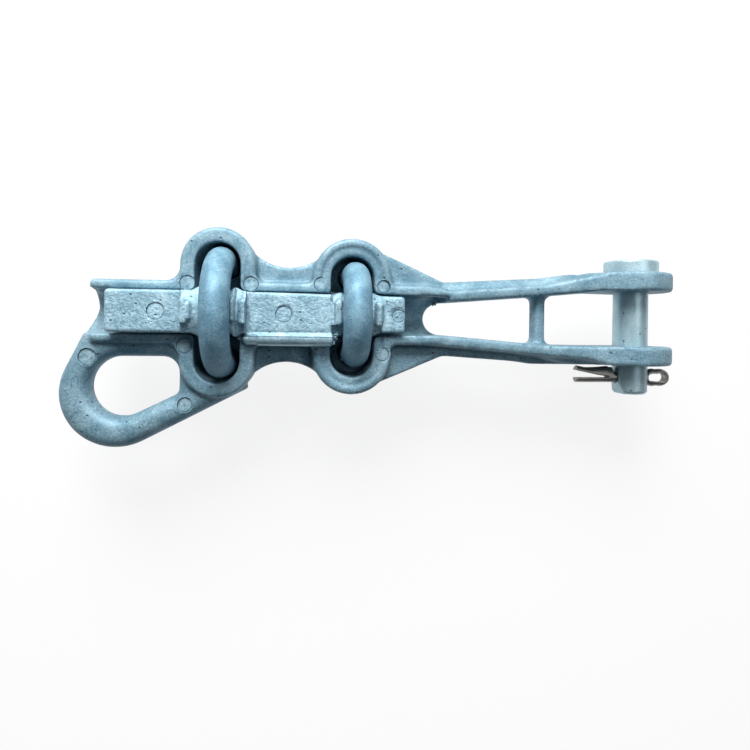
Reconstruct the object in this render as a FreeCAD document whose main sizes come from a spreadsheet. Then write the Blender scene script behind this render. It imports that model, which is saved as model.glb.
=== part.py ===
"""Bolted strain clamp of an overhead line: cast body, keeper, two U-bolts, clevis pin.

Millimetres. The origin is the centre of the clevis pin. +X points out of the
clevis, away from the conductor; the pin lies along Y; the two U-bolts come over
the keeper from above, +Z. The conductor lies in the channel along X.
"""
import FreeCAD, Part
import math
import os
import Sketcher
from FreeCAD import Rotation, Vector

doc = FreeCAD.newDocument("tension_clamp")
sheet = doc.addObject("Spreadsheet::Sheet", "sizes")

# Driving dimensions: each goes into a cell of its own, with its name as alias.
SIZES = {
    # Clevis: two ears, the pin between them and its split pin.
    "pin_dia": 16.0,
    "pin_clearance": 0.08,
    "pin_head_step": 4.5,
    "pin_head_high": 5.0,
    "pin_head_round": 1.0,
    "pin_end_play": 0.1,
    "pin_tail": 14.0,
    "pin_chamfer": 1.2,
    "pin_bevel_high": 6.4,
    "pin_bevel_deep": 2.4,
    "clevis_gap": 26.0,
    "ear_thick": 9.0,
    "ear_wall": 10.5,
    "ear_round": 1.5,
    "cotter_dia": 4.8,
    "cotter_clearance": 0.25,
    "cotter_from_ear": 6.2,
    "cotter_leg_long": 20.0,
    "cotter_eye_long": 12.4,
    "cotter_eye_inner": 2.5,
    "cotter_eye_neck": 0.6,
    "cotter_leg_gap": 0.2,
    "cotter_bend_gap": 3.0,
    "cotter_ear_gap": 0.45,
    # Arms between the clevis and the channel, with the bar that ties them.
    "arm_rib": 5.0,
    "arm_rib_at_ear": 6.2,
    "arm_widens_from_pin": 27.8,
    "arm_root": 6.0,
    "arm_inset": 0.6,
    "crotch_from_pin": 100.1,
    "crotch_narrower": 1.8,
    "arm_half_mid": 11.4,
    "arm_flange_wide_mid": 3.8,
    "arm_flange_wide_start": 4.5,
    "arm_flange_from_crotch": 6.1,
    "arm_flange_end_from_pin": 29.6,
    "arm_flange_fade": 2.2,
    "arm_top_start": 9.4,
    "arm_top_mid": 9.6,
    "arm_under_start": 13.0,
    "arm_under_mid": 10.0,
    "arm_sway": 1.3,
    "bar_from_pin": 47.6,
    "bar_wide": 6.0,
    "bar_high": 8.0,
    "bar_round": 2.0,
    "bar_sink": 1.0,
    "bar_gusset": 2.4,
    # Channel for the conductor.
    "tail_overhang": 54.0,
    "channel_wide": 19.0,
    "wall_thick": 4.0,
    "rim_height": 10.0,
    "floor_depth": 17.0,
    "groove_radius": 7.0,
    "groove_axis_depth": 4.0,
    "seat_depth": 1.0,
    "rim_round": 1.7,
    "rim_end_round": 1.9,
    "under_round": 3.0,
    "wall_blend": 6.0,
    "ring_blend": 4.0,
    "wall_before_crotch": 3.0,
    "wall_taper": 8.7,
    "seat_inset": 0.8,
    "chin_ahead": 3.8,
    "chin_slant": 5.2,
    "chin_corner": 4.0,
    "chin_root": 6.0,
    "mouth_flare": 3.4,
    "mouth_flare_long": 12.0,
    "crotch_mouth_inset": 1.5,
    "crotch_mouth_past": 3.0,
    # Two stations with a U-bolt each.
    "stations_apart": 58.9,
    "crotch_to_clevis": 35.2,
    "tail_ring_back": 1.2,
    "clevis_ring_back": 1.5,
    "clevis_ring_sway": 0.9,
    "tail_ring_in": 1.5,
    "clevis_ring_in": 0.2,
    "tail_leg_gap": 7.0,
    "clevis_leg_gap": 2.0,
    "well_room": 3.5,
    "tail_ring_wall": 6.4,
    "clevis_ring_wall": 7.8,
    "well_floor": 6.0,
    "well_inner_gap": 0.7,
    "well_corner": 0.8,
    "ring_step_in": 3.3,
    "ring_step_deep": 0.8,
    "rod_dia": 12.2,
    "bend_below_rim": 5.5,
    "leg_clearance": 0.6,
    "leg_past_nut": 10.5,
    "leg_chamfer": 1.2,
    # Web between the rings and the tail eye.
    "web_thick": 6.0,
    "waist_radius": 22.0,
    "web_inset": 0.8,
    "eye_thick": 14.0,
    "eye_round": 5.4,
    "eye_from_station": 44.2,
    "eye_across": 35.4,
    "eye_bar": 10.7,
    "eye_hole_radius": 13.2,
    "eye_hole_from_station": 42.2,
    "eye_hole_across": 19.6,
    "eye_hole_long": 37.4,
    "eye_hole_top_round": 7.0,
    "eye_hole_low_round": 3.5,
    "eye_shoulder_in": 1.0,
    "eye_shoulder_up": 1.5,
    "eye_root_ahead": 11.8,
    "eye_slope": 26.0,
    "eye_under_slope": 27.2,
    # Keeper that presses the conductor down.
    "keeper_clearance": 0.5,
    "keeper_tail_long": 31.1,
    "keeper_nose_long": 10.4,
    "keeper_taper": 1.0,
    "keeper_above_rim": 6.0,
    "keeper_nose_above_rim": 4.0,
    "keeper_above_seat": 1.6,
    "keeper_corner": 1.6,
    "keeper_step_slope": 2.0,
    "keeper_step_round": 1.5,
    "keeper_groove_clearance": 0.3,
    "tail_saddle_back": 14.9,
    "tail_saddle_front": 11.7,
    "clevis_saddle_back": 10.9,
    "clevis_saddle_front": 11.1,
    "saddle_gap": 0.3,
    "saddle_foot": 2.0,
    "saddle_sink": 1.0,
    "clevis_saddle_narrower": 0.6,
    "lip_past_wall": 0.8,
    "bead_radius": 3.3,
    "keeper_round": 1.3,
    "lip_gap": 0.3,
    "lip_below_top": 1.0,
    "ridge_wide": 3.0,
    "ridge_high": 1.6,
    "ridge_half": 4.8,
    "ridge_foot": 4.0,
    "ridge_round": 1.35,
    # Hexagon nuts with a flat washer and a spring washer each.
    "washer_dia": 24.0,
    "washer_thick": 2.5,
    "washer_clearance": 0.5,
    "spring_dia": 21.0,
    "spring_thick": 3.0,
    "spring_slot": 1.6,
    "spring_slot_slope": 0.6,
    "nut_flats": 18.0,
    "nut_high": 10.0,
    "nut_clearance": 0.06,
    "nut_face_inset": 0.2,
    "nut_chamfer_angle": 30.0,
    # Round marks that the ejector pins of the mould leave: bosses with a sunk face.
    "mark_dia": 7.0,
    "mark_rim": 0.5,
    "mark_deep": 0.5,
    "rim_mark_off": 13.6,
    "rim_mark_across": 12.6,
    "tail_low_mark_across": 14.5,
    "clevis_low_mark_across": 17.7,
    "eye_mark_low": 0.3,
    "eye_mark_back": 55.4,
    "eye_mark_across": 19.9,
    "eye_mark_front_back": 14.7,
    "eye_mark_front_across": 40.4,
    "tail_mark_back": 25.2,
    "mid_mark_ahead": 27.8,
    "nose_mark_ahead": 18.5,
    # How far a cutting outline runs past what it cuts.
    "cut_past": 5.0,
}
for row, (name, value) in enumerate(SIZES.items(), 1):
    sheet.set("A%d" % row, name)
    sheet.set("B%d" % row, repr(value))
    sheet.setAlias("B%d" % row, name)
doc.recompute()

# Places and widths that follow from them, along X from the pin and up from the conductor's line.
V = dict(SIZES)
V["crotch_end"] = -V["crotch_from_pin"]
V["clevis_station"] = V["crotch_end"] - V["crotch_to_clevis"]
V["tail_station"] = V["clevis_station"] - V["stations_apart"]
V["channel_end"] = V["tail_station"] - V["tail_overhang"]
V["chin_end"] = V["channel_end"] - V["chin_ahead"]
V["bar_place"] = -V["bar_from_pin"]
V["arm_widens"] = -V["arm_widens_from_pin"]
V["arm_flange_from"] = V["crotch_end"] + V["arm_flange_from_crotch"]
V["arm_flange_to"] = -V["arm_flange_end_from_pin"]
V["ear_radius"] = V["pin_dia"] / 2 + V["ear_wall"]
V["floor_under"] = -V["floor_depth"]
V["groove_depth"] = -V["groove_axis_depth"]
V["seat_height"] = -V["seat_depth"]
V["well_radius"] = V["rod_dia"] / 2 + V["well_room"]
V["nut_top"] = V["floor_under"] - V["washer_thick"] - V["spring_thick"]
V["leg_end"] = V["nut_top"] - V["nut_high"] - V["leg_past_nut"]
V["keeper_top"] = V["rim_height"] + V["keeper_above_rim"]
V["keeper_nose_top"] = V["rim_height"] + V["keeper_nose_above_rim"]
V["keeper_tail_block"] = V["tail_station"] - V["tail_saddle_back"]
V["keeper_mid_start"] = V["tail_station"] + V["tail_saddle_front"]
V["keeper_mid_end"] = V["clevis_station"] - V["clevis_saddle_back"]
V["keeper_nose_start"] = V["clevis_station"] + V["clevis_saddle_front"]
V["keeper_tail"] = V["keeper_tail_block"] - V["keeper_tail_long"]
V["keeper_nose"] = V["keeper_nose_start"] + V["keeper_nose_long"]

# The same places as expressions on the sheet.
CLEVIS_X = "-(sizes.crotch_from_pin + sizes.crotch_to_clevis)"
TAIL_X = "-(sizes.crotch_from_pin + sizes.crotch_to_clevis + sizes.stations_apart)"
STATION_X = {"tail": TAIL_X, "clevis": CLEVIS_X}
RING_X = {key: STATION_X[key] + " - sizes.%s_ring_back" % key for key in STATION_X}
LEG_Y = "(sizes.channel_wide / 2 + sizes.rod_dia / 2 + sizes.%s_leg_gap)"
NUT_TOP = "-(sizes.floor_depth + sizes.washer_thick + sizes.spring_thick)"


def origin_plane(body, role):
    for feature in body.Origin.OriginFeatures:
        if feature.Role == role:
            return feature
    raise ValueError(role)


def new_body(name):
    body = doc.addObject("PartDesign::Body", name)
    body.Label = name
    body.AllowCompound = True
    return body


def new_sketch(body, name, role, height="0"):
    """Sketch on an origin plane, moved along the plane's normal by an expression."""
    sketch = body.newObject("Sketcher::SketchObject", name)
    sketch.AttachmentSupport = [(origin_plane(body, role), "")]
    sketch.MapMode = "FlatFace"
    sketch.setExpression("AttachmentOffset.Base.z", height)
    return sketch


def circle(sketch, along, across, radius):
    """Circle whose centre and radius are expressions on the sheet."""
    index = sketch.addGeometry(Part.Circle(Vector(1, 1, 0), Vector(0, 0, 1), 1), False)
    for kind, target, expression in (("DistanceX", (index, 3), along), ("DistanceY", (index, 3), across)):
        row = sketch.addConstraint(Sketcher.Constraint(kind, -1, 1, target[0], target[1], 1.0))
        sketch.setExpression("Constraints[%d]" % row, expression)
    row = sketch.addConstraint(Sketcher.Constraint("Radius", index, 1.0))
    sketch.setExpression("Constraints[%d]" % row, radius)


def rounded(points):
    """Closed outline from (x, y, radius) corners: straight edges joined by tangent arcs."""
    count = len(points)
    ends = []
    for i, (x, y, radius) in enumerate(points):
        corner = Vector(x, y, 0)
        before = Vector(points[i - 1][0], points[i - 1][1], 0) - corner
        after = Vector(points[(i + 1) % count][0], points[(i + 1) % count][1], 0) - corner
        before.normalize()
        after.normalize()
        if radius <= 0:
            ends.append((corner, None, corner))
            continue
        half = before.getAngle(after) / 2
        back = radius / math.tan(half)
        middle = before + after
        middle.normalize()
        inner = corner + middle * (radius / math.sin(half) - radius)
        ends.append((corner + before * back, inner, corner + after * back))
    edges = []
    for i, (start, inner, end) in enumerate(ends):
        if inner is not None:
            edges.append(Part.Arc(start, inner, end))
        following = ends[(i + 1) % count][0]
        if (following - end).Length > 1e-6:
            edges.append(Part.LineSegment(end, following))
    return edges


def draw(sketch, edges, closed=True):
    """Puts a chain of edges into a sketch and joins each end to the next edge."""
    first = sketch.GeometryCount
    for edge in edges:
        sketch.addGeometry(edge, False)
    count = len(edges)
    free = {(first + i, end) for i in range(count) for end in (1, 2)}
    for i in range(count if closed else count - 1):
        one, two = first + i, first + (i + 1) % count
        for pair in (((one, a), (two, b)) for a in (2, 1) for b in (1, 2)):
            if set(pair) <= free and (sketch.getPoint(*pair[0]) - sketch.getPoint(*pair[1])).Length < 1e-5:
                sketch.addConstraint(Sketcher.Constraint("Coincident", *pair[0], *pair[1]))
                free -= set(pair)
                break


def pad(body, name, sketch, length, both=False, reverse=False):
    feature = body.newObject("PartDesign::Pad", name)
    feature.Profile = sketch
    feature.setExpression("Length", length)
    feature.Midplane = both
    feature.Reversed = reverse
    sketch.Visibility = False
    return feature


def pocket(body, name, sketch, length, both=False, reverse=False):
    doc.recompute()
    before = body.Tip.Shape.Volume
    feature = body.newObject("PartDesign::Pocket", name)
    feature.Profile = sketch
    feature.setExpression("Length", length)
    feature.Midplane = both
    feature.Reversed = reverse
    doc.recompute()
    if before - feature.Shape.Volume < 1e-6:
        raise ValueError("%s cuts nothing" % name)
    return feature


def round_edges(body, name, radius, wanted):
    """Fillet on the edges of the present tip that the test picks."""
    doc.recompute()
    base = body.Tip
    names = ["Edge%d" % (i + 1) for i, edge in enumerate(base.Shape.Edges) if wanted(edge)]
    if not names:
        raise ValueError("%s finds no edge" % name)
    feature = body.newObject("PartDesign::Fillet", name)
    feature.Base = (base, names)
    feature.setExpression("Radius", radius)
    doc.recompute()
    return feature


def at_height(edge, z):
    box = edge.BoundBox
    return abs(box.ZMin - z) < 1e-4 and abs(box.ZMax - z) < 1e-4


def tangent_point(point, centre, radius, side):
    """Where a line from a point touches a circle; side is +1 or -1."""
    reach = centre - point
    turn = math.asin(radius / reach.Length)
    direction = Rotation(Vector(0, 0, 1), math.degrees(side * turn)).multVec(reach)
    direction.normalize()
    return point + direction * math.sqrt(reach.Length ** 2 - radius ** 2)


def arc_about(centre, start, end, through_angle):
    radius = (start - centre).Length
    angle = math.radians(through_angle)
    middle = centre + Vector(math.cos(angle), math.sin(angle), 0) * radius
    return Part.Arc(start, middle, end)


# Heights and half widths that several pieces share.
gap_half = V["clevis_gap"] / 2
ear_out = gap_half + V["ear_thick"]
channel_half = V["channel_wide"] / 2
crotch_half = channel_half - V["crotch_narrower"]
wall_out = channel_half + V["wall_thick"]
crotch_centre = V["crotch_end"] + crotch_half
wall_end = V["crotch_end"] - V["wall_before_crotch"]
rod_radius = V["rod_dia"] / 2
half_eye = V["eye_thick"] / 2
bend_height = V["rim_height"] - V["bend_below_rim"]
past = V["cut_past"]
sway = V["arm_sway"]
stations = {}
rings = {}
for key in ("tail", "clevis"):
    place = V["%s_station" % key]
    leg_place = channel_half + rod_radius + V["%s_leg_gap" % key]
    stations[key] = (place, leg_place)
    ring = V["well_radius"] + V["%s_ring_wall" % key]
    rings[key] = (place - V["%s_ring_back" % key], leg_place - V["%s_ring_in" % key], ring)


def aside(x, y):
    """Across place of an outline corner, with the rings next to the clevis moved to one side."""
    near_clevis = x > (V["tail_station"] + V["clevis_station"]) / 2
    return y - V["clevis_ring_sway"] if near_clevis and abs(y) > wall_out else y


def make_arms():
    """Two long arms with the clevis ears and the bar that ties them."""
    body = new_body("arms")
    rib = V["arm_rib"]
    half_start = crotch_half
    half_mid = V["arm_half_mid"]
    bar_x = V["bar_place"]
    radius = V["ear_radius"]
    root_end = wall_end - V["arm_root"]

    # Arms: two long ribs that spread from the channel walls to the ears.
    for side in (1, -1):
        sketch = new_sketch(body, "arm_plan_%s" % ("left" if side > 0 else "right"), "XY_Plane")
        draw(sketch, rounded([(x, side * y - aside, 0) for x, y, aside in (
            (root_end, channel_half + V["arm_inset"], 0),
            (crotch_centre, half_start, sway),
            (bar_x, half_mid, sway),
            (-radius, gap_half, 0),
            (0.0, gap_half, 0),
            (0.0, ear_out, 0),
            (-radius, ear_out - V["arm_inset"], 0),
            (V["arm_widens"], gap_half + V["arm_rib_at_ear"], 0),
            (bar_x, half_mid + rib, sway),
            (crotch_centre, half_start + rib, sway),
            (wall_end, wall_out, 0),
            (root_end, wall_out, 0),
        )]))
        pad(body, "arm_%s" % ("left" if side > 0 else "right"), sketch,
            "sizes.pin_dia + sizes.ear_wall * 2", both=True)
    doc.recompute()

    # Side view of the arms: what lies outside the tapering outline is cut away.
    sketch = new_sketch(body, "arm_side", "XZ_Plane")
    reach = radius + past
    start = root_end - past
    middle = Vector(0, 0, 0)
    inside_ear = radius - V["arm_inset"]
    top_touch = tangent_point(Vector(bar_x, V["arm_top_mid"], 0), middle, inside_ear, 1)
    low_touch = tangent_point(Vector(bar_x, -V["arm_under_mid"], 0), middle, inside_ear, -1)
    frame = start - past
    draw(sketch, rounded([(frame, -reach, 0), (reach, -reach, 0), (reach, reach, 0), (frame, reach, 0)]))
    outline = [
        Part.LineSegment(Vector(start, -V["arm_under_start"], 0), Vector(bar_x, -V["arm_under_mid"], 0)),
        Part.LineSegment(Vector(bar_x, -V["arm_under_mid"], 0), low_touch),
        arc_about(Vector(0, 0, 0), low_touch, top_touch, 0),
        Part.LineSegment(top_touch, Vector(bar_x, V["arm_top_mid"], 0)),
        Part.LineSegment(Vector(bar_x, V["arm_top_mid"], 0), Vector(start, V["arm_top_start"], 0)),
        Part.LineSegment(Vector(start, V["arm_top_start"], 0), Vector(start, -V["arm_under_start"], 0)),
    ]
    draw(sketch, outline)
    pocket(body, "arm_side_cut", sketch, "sizes.clevis_gap * 3", both=True)

    # Ears round the pin hole, turned discs with soft edges.
    sketch = new_sketch(body, "ear_profile", "XY_Plane")
    soft = V["ear_round"]
    for side in (1, -1):
        draw(sketch, rounded([(0, side * gap_half, 0), (radius, side * gap_half, soft),
                              (radius, side * ear_out, soft), (0, side * ear_out, 0)]))
    ears = body.newObject("PartDesign::Revolution", "ears")
    ears.Profile = sketch
    ears.ReferenceAxis = (sketch, ["V_Axis"])
    ears.Angle = 360
    doc.recompute()

    # Bar that ties the arms.
    sketch = new_sketch(body, "bar_section", "XZ_Plane")
    wide, high = V["bar_wide"] / 2, V["bar_high"] / 2
    corners = ((-1, -1), (1, -1), (1, 1), (-1, 1))
    draw(sketch, rounded([(bar_x + sx * wide, sz * high, V["bar_round"]) for sx, sz in corners]))
    pad(body, "bar", sketch, "(sizes.arm_half_mid + sizes.bar_sink + sizes.arm_sway) * 2", both=True)
    sketch = new_sketch(body, "bar_gusset_plan", "XY_Plane")
    spread = wide + V["bar_gusset"]
    for side in (1, -1):
        foot = side * (half_mid + V["bar_sink"]) - sway
        face = side * half_mid - sway
        end = face - side * V["bar_gusset"]
        draw(sketch, rounded([(bar_x - spread, foot, 0), (bar_x - spread, face, 0), (bar_x - wide, end, 0),
                              (bar_x + wide, end, 0), (bar_x + spread, face, 0), (bar_x + spread, foot, 0)]))
    pad(body, "bar_gussets", sketch, "sizes.bar_high - sizes.bar_round * 2", both=True)
    return body


def make_eye():
    """Tail eye, a rounded ring below the channel's open end."""
    body = new_body("eye")
    sketch = new_sketch(body, "eye_plan", "XY_Plane")
    centre = Vector(V["tail_station"] - V["eye_from_station"], -V["eye_across"], 0)
    eye_radius = V["eye_hole_radius"] + V["eye_bar"]
    shoulder = Vector(V["channel_end"] + V["eye_shoulder_in"], V["eye_shoulder_up"], 0)
    slope = math.radians(V["eye_slope"])
    root = Vector(V["tail_station"], -channel_half, 0)
    left = tangent_point(shoulder, centre, eye_radius, -1)
    under = math.radians(V["eye_under_slope"])
    low = centre + Vector(math.sin(under), -math.cos(under), 0) * eye_radius
    reach = V["tail_station"] + V["eye_root_ahead"] - low.x
    end = low + Vector(reach, reach * math.tan(under), 0)
    inner_shoulder = shoulder + Vector(eye_radius, 0, 0)
    draw(sketch, [
        Part.LineSegment(shoulder, left),
        arc_about(centre, left, low, 225),
        Part.LineSegment(low, end),
        Part.LineSegment(end, root),
        Part.LineSegment(root, inner_shoulder),
        Part.LineSegment(inner_shoulder, shoulder),
    ])
    pad(body, "eye", sketch, "sizes.eye_thick", both=True)
    sketch = new_sketch(body, "eye_opening", "XY_Plane")
    hole = V["eye_hole_radius"]
    hole_x = V["tail_station"] - V["eye_hole_from_station"]
    hole_top = -V["eye_hole_across"]
    hole_y = hole_top - hole
    hole_end = hole_x - hole + V["eye_hole_long"]
    back = (-hole - hole * math.sin(slope)) / math.cos(slope)
    corner_y = hole_y - hole * math.cos(slope) + back * math.sin(slope)
    end_y = corner_y + V["eye_hole_long"] * math.tan(slope)
    draw(sketch, rounded([
        (hole_x - hole, hole_top, hole),
        (hole_x - hole, corner_y, hole),
        (hole_end, end_y, V["eye_hole_low_round"]),
        (hole_end, hole_top, V["eye_hole_top_round"]),
    ]))
    pocket(body, "eye_hole", sketch, "sizes.eye_thick * 2", both=True)
    round_edges(body, "eye_rounds", "sizes.eye_round", lambda edge: (
        at_height(edge, half_eye) or at_height(edge, -half_eye)))
    return body


def make_casting():
    """The cast body: channel walls with four wells, joined with web, arms and eye."""
    tools = [make_arms(), make_eye()]
    body = new_body("body")
    rib = V["arm_rib"]
    half_start = crotch_half
    half_mid = V["arm_half_mid"]
    bar_x = V["bar_place"]

    # Channel walls that bulge round the four wells.
    sketch = new_sketch(body, "wall_plan", "XY_Plane", "-sizes.floor_depth")
    rows = [(V["channel_end"], -wall_out, V["rim_end_round"])]
    for key in ("tail", "clevis"):
        x, y, ring = rings[key]
        room = aside(x, y) - wall_out
        blend = min(V["ring_blend"], room)
        first_blend = min(V["wall_blend"], room) if key == "tail" else blend
        rows += [
            (x - ring, -wall_out, first_blend),
            (x - ring, -(y + ring), ring),
            (x + ring, -(y + ring), ring),
            (x + ring, -wall_out, blend),
        ]
    rows += [(wall_end, -wall_out, 0), (wall_end + V["wall_taper"], -(half_start + rib / 2), 0)]
    rows += [(x, -y, r) for x, y, r in reversed(rows)]
    draw(sketch, rounded([(x, y - sway if x > wall_end else aside(x, y), r) for x, y, r in rows]))
    pad(body, "walls", sketch, "sizes.rim_height + sizes.floor_depth")

    # Chin under the open end: the floor runs out past the rims, and slants down to the eye.
    sketch = new_sketch(body, "chin_plan", "XY_Plane", "-sizes.floor_depth")
    inside, chin = V["channel_end"] + V["chin_root"], V["chin_end"]
    draw(sketch, rounded([
        (inside, wall_out, 0), (chin, wall_out, V["chin_corner"]), (chin, V["eye_shoulder_up"], 0),
        (chin - V["chin_slant"], -wall_out, V["chin_corner"]), (inside, -wall_out, 0)]))
    pad(body, "chin", sketch, "sizes.floor_depth - sizes.web_thick / 2")
    top = V["rim_height"]
    under = V["floor_under"]
    round_edges(body, "rim_outside", "sizes.rim_round", lambda edge: at_height(edge, top))
    round_edges(body, "under_rounds", "sizes.under_round", lambda edge: at_height(edge, under))

    joined = body.newObject("PartDesign::Boolean", "joined")
    joined.Type = "Fuse"
    joined.setObjects(tools)
    doc.recompute()

    # Web: fins that taper into the arms and the waist between the rings.
    sketch = new_sketch(body, "web_plan", "XY_Plane")
    edges = []
    rows = []
    for side in (1, -1):
        tail_x, tail_y, tail_r = rings["tail"]
        nose_x, nose_y, nose_r = rings["clevis"]
        tail_r, nose_r = tail_r - V["web_inset"], nose_r - V["web_inset"]
        waist = V["waist_radius"]
        first = Vector(tail_x, side * tail_y, 0)
        second = Vector(nose_x, aside(nose_x, side * nose_y), 0)
        span = second - first
        one, two = tail_r + waist, nose_r + waist
        forward = (one ** 2 - two ** 2 + span.Length ** 2) / (2 * span.Length)
        lift = math.sqrt(one ** 2 - forward ** 2)
        unit = Vector(span)
        unit.normalize()
        square = Vector(-unit.y, unit.x, 0) * side
        middle = first + unit * forward + square * lift
        touch_one = first + (middle - first) * (tail_r / one)
        touch_two = second + (middle - second) * (nose_r / two)
        fin = Vector(V["arm_flange_from"], side * (half_start + rib + V["arm_flange_wide_start"]) - sway, 0)
        touch_fin = tangent_point(fin, second, nose_r, -side)
        flange = Vector(bar_x, side * (half_mid + rib + V["arm_flange_wide_mid"]) - sway, 0)
        fade = Vector(V["arm_flange_to"], side * (ear_out - V["arm_flange_fade"]), 0)
        inside = Vector(bar_x, side * (half_mid + rib / 2) - sway, 0)
        root = Vector(crotch_centre, side * (half_start + rib / 2) - sway, 0)
        low_point = middle - square * waist
        rows.append((first, touch_one, low_point, touch_two, touch_fin, fin, flange, fade, inside, root))
    for side, row in zip((1, -1), rows):
        first, touch_one, low_point, touch_two, touch_fin, fin, flange, fade, inside, root = row
        chain = [Part.LineSegment(first, touch_one), Part.Arc(touch_one, low_point, touch_two)]
        points = [touch_two, touch_fin, fin, flange, fade, inside, root]
        chain += [Part.LineSegment(a, b) for a, b in zip(points, points[1:])]
        edges.append(chain)
    upper, lower = rows
    loop = edges[0] + [Part.LineSegment(upper[-1], lower[-1])]
    loop += [Part.LineSegment(e.EndPoint, e.StartPoint) if isinstance(e, Part.LineSegment)
             else Part.Arc(e.EndPoint, lower[2], e.StartPoint) for e in reversed(edges[1])]
    loop += [Part.LineSegment(lower[0], upper[0])]
    draw(sketch, loop)
    pad(body, "web", sketch, "sizes.web_thick", both=True)

    # Bosses of the ejector marks on the rims and on the eye.
    boss = "(sizes.mark_dia / 2 + sizes.mark_rim)"
    rim_marks = [(RING_X[key] + way + "sizes.rim_mark_off", "sizes.rim_mark_across")
                 for key in ("tail", "clevis") for way in (" - ", " + ")]
    rim_marks += [(RING_X["tail"] + " - sizes.rim_mark_off", "-sizes.tail_low_mark_across"),
                  (RING_X["clevis"] + " + sizes.rim_mark_off", "-sizes.clevis_low_mark_across")]
    eye_marks = [(TAIL_X + " - sizes.eye_mark_back", "-sizes.eye_mark_across"),
                 (TAIL_X + " - sizes.eye_mark_front_back", "-sizes.eye_mark_front_across")]
    for name, places, height in (("rim", rim_marks, "sizes.rim_height"),
                                 ("eye", eye_marks, "(sizes.eye_thick / 2 - sizes.eye_mark_low)")):
        sketch = new_sketch(body, "%s_boss_plan" % name, "XY_Plane")
        for along, across in places:
            circle(sketch, along, across, boss)
        pad(body, "%s_bosses" % name, sketch, height)
        sketch = new_sketch(body, "%s_mark_plan" % name, "XY_Plane", height)
        for along, across in places:
            circle(sketch, along, across, "sizes.mark_dia / 2")
        pocket(body, "%s_marks" % name, sketch, "sizes.mark_deep")

    # Step on top of the two rings next to the clevis.
    sketch = new_sketch(body, "ring_step_plan", "XY_Plane", "sizes.rim_height")
    x, y, ring = rings["clevis"]
    wide = ring - V["ring_step_in"]
    for side in (1, -1):
        draw(sketch, rounded([(x - wide, side * (channel_half - V["seat_inset"]), 0),
                              (x + wide, side * (channel_half - V["seat_inset"]), 0),
                              (x + wide, aside(x, side * (y + wide)), wide),
                              (x - wide, aside(x, side * (y + wide)), wide)]))
    pocket(body, "ring_step", sketch, "sizes.ring_step_deep")

    # Space above the conductor, open at both ends, with the wells beside it.
    seat_half = channel_half - V["seat_inset"]
    sketch = new_sketch(body, "seat_plan", "XY_Plane", "sizes.rim_height")
    rows = [(V["chin_end"] - V["chin_slant"] - past, -channel_half, 0)]
    well, corner = V["well_radius"], V["well_corner"]
    for key in ("tail", "clevis"):
        x, y, ring = rings[key]
        rows += [
            (x - well, -channel_half, corner),
            (x - well, -(y + well), well),
            (x + well, -(y + well), well),
            (x + well, -channel_half, corner),
        ]
    rows += [(crotch_centre, -seat_half, 0)]
    rows += [(x, -y, r) for x, y, r in reversed(rows)]
    draw(sketch, rounded([(x, aside(x, y), r) for x, y, r in rows]))
    pocket(body, "seat", sketch, "sizes.rim_height + sizes.seat_depth")

    # Deep part of the wells beside the groove.
    sketch = new_sketch(body, "well_plan", "XY_Plane", "sizes.rim_height")
    for key in ("tail", "clevis"):
        x, y, ring = rings[key]
        for side in (1, -1):
            inner = channel_half + V["well_inner_gap"]
            draw(sketch, rounded([
                (x - well, side * inner, corner),
                (x + well, side * inner, corner),
                (x + well, aside(x, side * (y + well)), well),
                (x - well, aside(x, side * (y + well)), well),
            ]))
    pocket(body, "wells", sketch, "sizes.rim_height + sizes.floor_depth - sizes.well_floor")

    # Groove that the conductor lies in.
    sketch = new_sketch(body, "groove_section", "YZ_Plane",
                        TAIL_X + " - sizes.tail_overhang - sizes.chin_ahead - sizes.chin_slant - sizes.cut_past")
    groove = V["groove_radius"]
    deep = V["groove_depth"]
    seat = V["seat_height"]
    draw(sketch, [
        Part.Arc(Vector(-groove, deep, 0), Vector(0, deep - groove, 0), Vector(groove, deep, 0)),
        Part.LineSegment(Vector(groove, deep, 0), Vector(seat_half, seat, 0)),
        Part.LineSegment(Vector(seat_half, seat, 0), Vector(seat_half, top + past, 0)),
        Part.LineSegment(Vector(seat_half, top + past, 0), Vector(-seat_half, top + past, 0)),
        Part.LineSegment(Vector(-seat_half, top + past, 0), Vector(-seat_half, seat, 0)),
        Part.LineSegment(Vector(-seat_half, seat, 0), Vector(-groove, deep, 0)),
    ])
    pocket(body, "groove", sketch,
           "sizes.crotch_to_clevis + sizes.stations_apart + sizes.tail_overhang"
           " + sizes.chin_ahead + sizes.chin_slant + sizes.cut_past * 2",
           reverse=True)

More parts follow.
